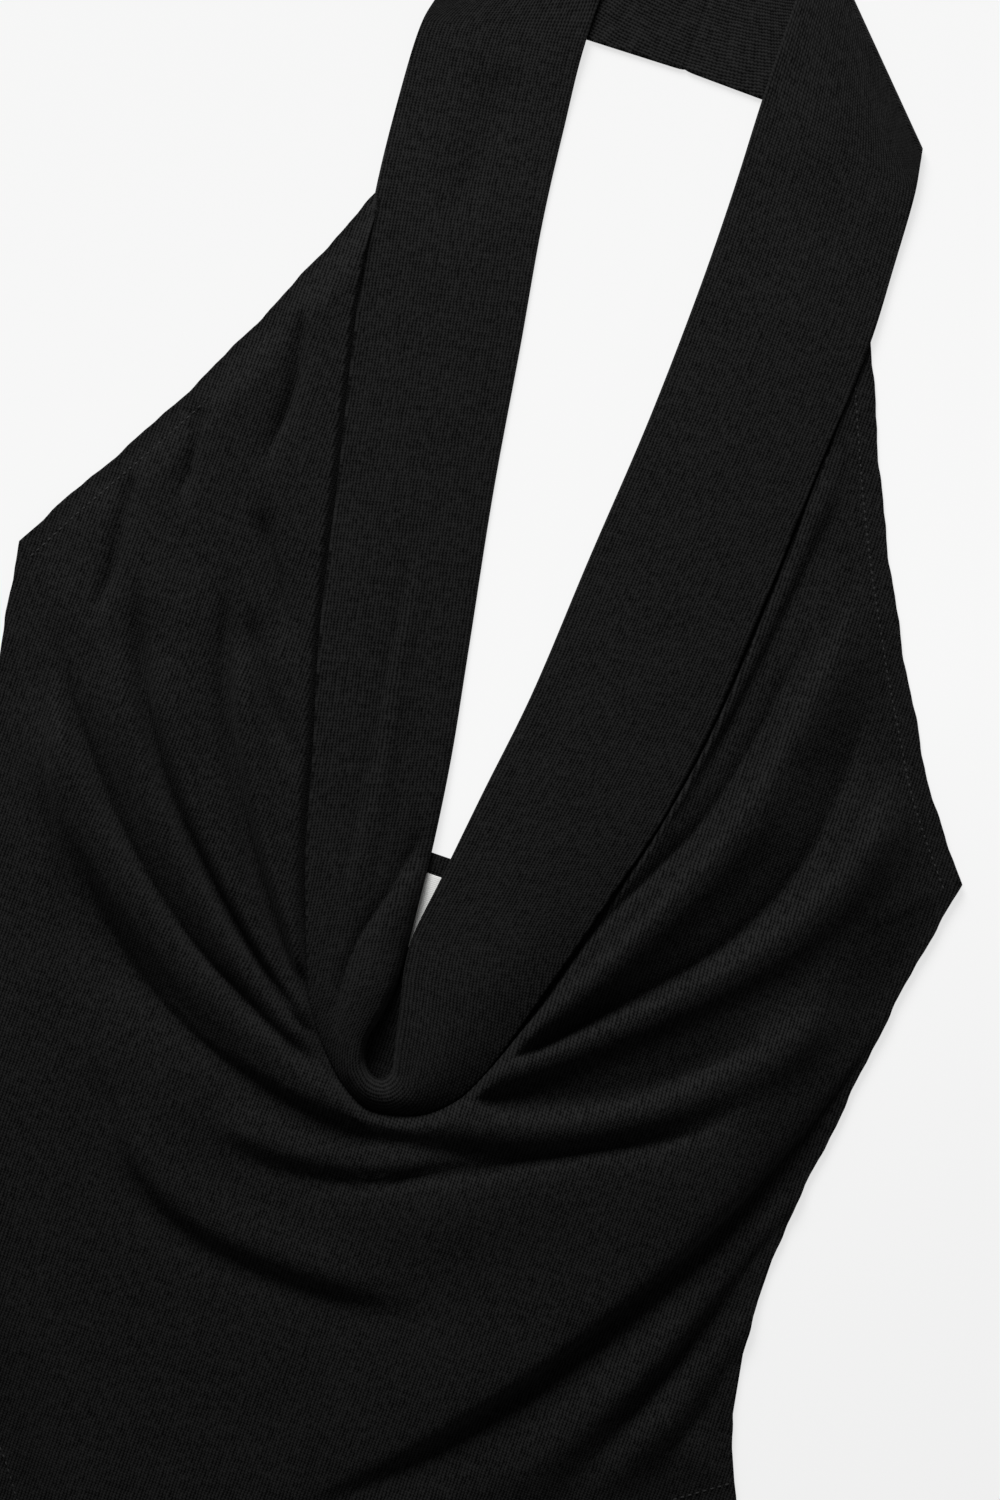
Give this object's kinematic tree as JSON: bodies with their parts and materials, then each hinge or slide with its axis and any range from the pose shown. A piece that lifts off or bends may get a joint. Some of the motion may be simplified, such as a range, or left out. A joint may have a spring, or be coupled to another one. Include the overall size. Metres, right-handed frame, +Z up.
{
  "type": "halter bodysuit",
  "caption": "Sleeveless halter bodysuit in black jersey with a draped cowl neck, laid flat on its back with the front up.",
  "frame": {"origin": "middle of the flat garment's outline, on the surface it lies on", "axes": "+X to the viewer's right across the front, +Y up the garment towards the neck, +Z up off the surface"},
  "size_m": [0.39, 0.7652, 0.0133],
  "materials": {
    "jersey": "matt single jersey knit",
    "jersey_band": "matt single jersey knit, doubled",
    "label_tape": "woven satin tape"
  },
  "bodies": {
    "root": {"front_panel": "jersey", "back_panel": "jersey", "neck_band": "jersey_band", "back_edge_binding": "jersey_band", "label": "label_tape"}
  },
  "joints": []
}
